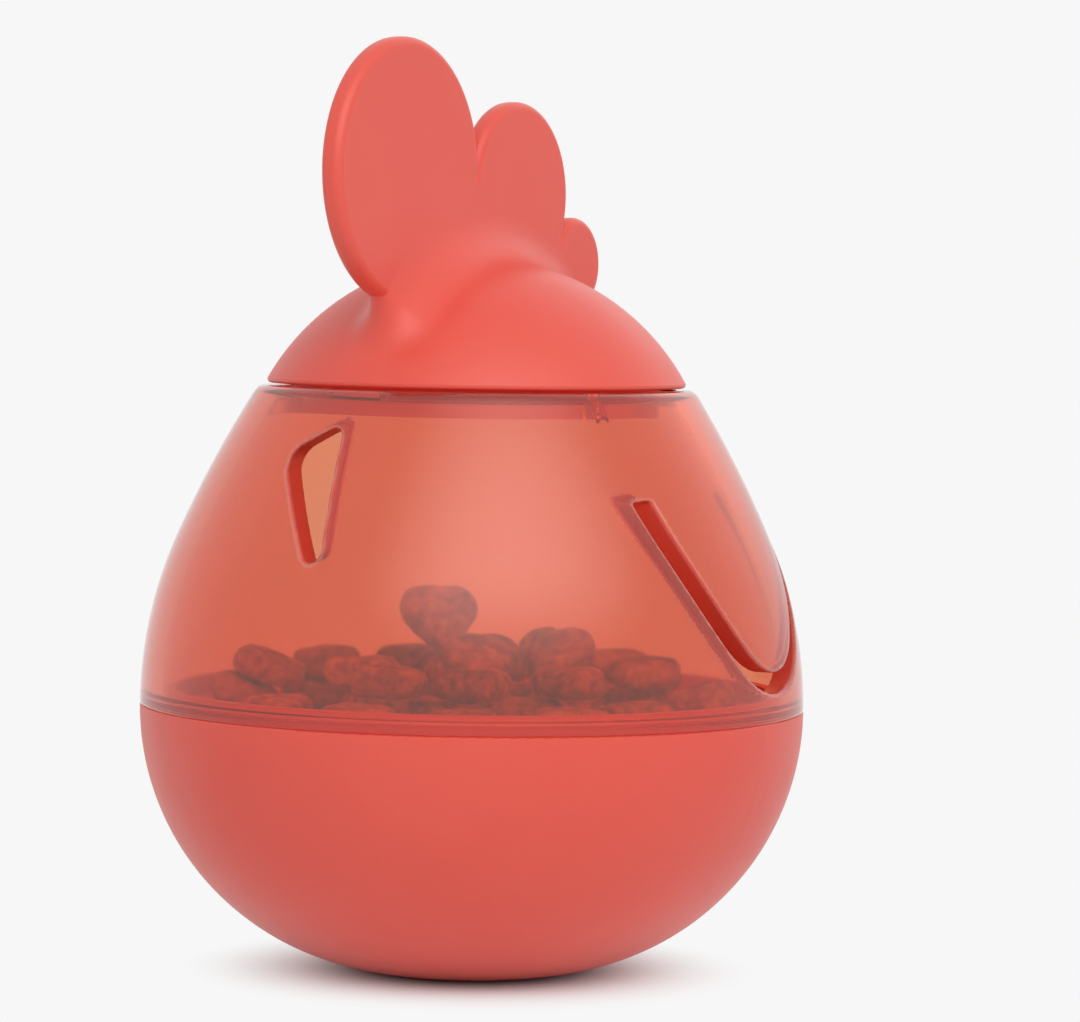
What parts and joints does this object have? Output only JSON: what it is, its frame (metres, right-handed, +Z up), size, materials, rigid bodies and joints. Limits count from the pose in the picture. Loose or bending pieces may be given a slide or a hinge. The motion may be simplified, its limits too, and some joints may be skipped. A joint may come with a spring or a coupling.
{
  "type": "treat dispenser",
  "caption": "Egg-shaped wobbling treat dispenser for cats: weighted bowl, clear tinted shell with a treat opening and a V slot, and a bayonet cap with a flat comb.",
  "frame": {"origin": "middle of the flat foot under the bowl", "axes": "+Z up along the axis of the egg, -Y towards the front edge of the comb and, 5 degrees off it, the treat opening; the V slot faces +X"},
  "size_m": [0.09, 0.09, 0.1255],
  "materials": {
    "coral_plastic": "moulded, satin coral",
    "clear_plastic": "clear tinted salmon, polished mould",
    "iron": "as cast",
    "black_plastic": "moulded black",
    "screw_steel": "zinc plated",
    "biscuit": "baked crumb, rough"
  },
  "bodies": {
    "base": {"bowl": "coral_plastic", "cover_screw_1": "screw_steel", "cover_screw_2": "screw_steel", "cover_screw_3": "screw_steel", "shell": "clear_plastic", "tray": "coral_plastic", "treat_01": "biscuit", "treat_02": "biscuit", "treat_03": "biscuit", "treat_04": "biscuit", "treat_05": "biscuit", "treat_06": "biscuit", "treat_07": "biscuit", "treat_08": "biscuit", "treat_09": "biscuit", "treat_10": "biscuit", "treat_11": "biscuit", "treat_12": "biscuit", "treat_13": "biscuit", "treat_14": "biscuit", "treat_15": "biscuit", "treat_16": "biscuit", "treat_17": "biscuit", "treat_18": "biscuit", "treat_19": "biscuit", "treat_20": "biscuit", "treat_21": "biscuit", "treat_22": "biscuit", "treat_23": "biscuit", "treat_24": "biscuit", "treat_25": "biscuit", "treat_26": "biscuit", "treat_27": "biscuit", "treat_28": "biscuit", "treat_29": "biscuit", "treat_30": "biscuit", "treat_31": "biscuit", "treat_32": "biscuit", "treat_33": "biscuit", "weight": "iron", "weight_cover": "black_plastic"},
    "cap": {"cap": "coral_plastic"}
  },
  "joints": [
    {"name": "cap_twist", "type": "hinge", "parent": "base", "child": "cap", "pos_m": [0, 0, 0.0795], "axis": [0, 0, 1], "range_deg": [0, 40]}
  ]
}
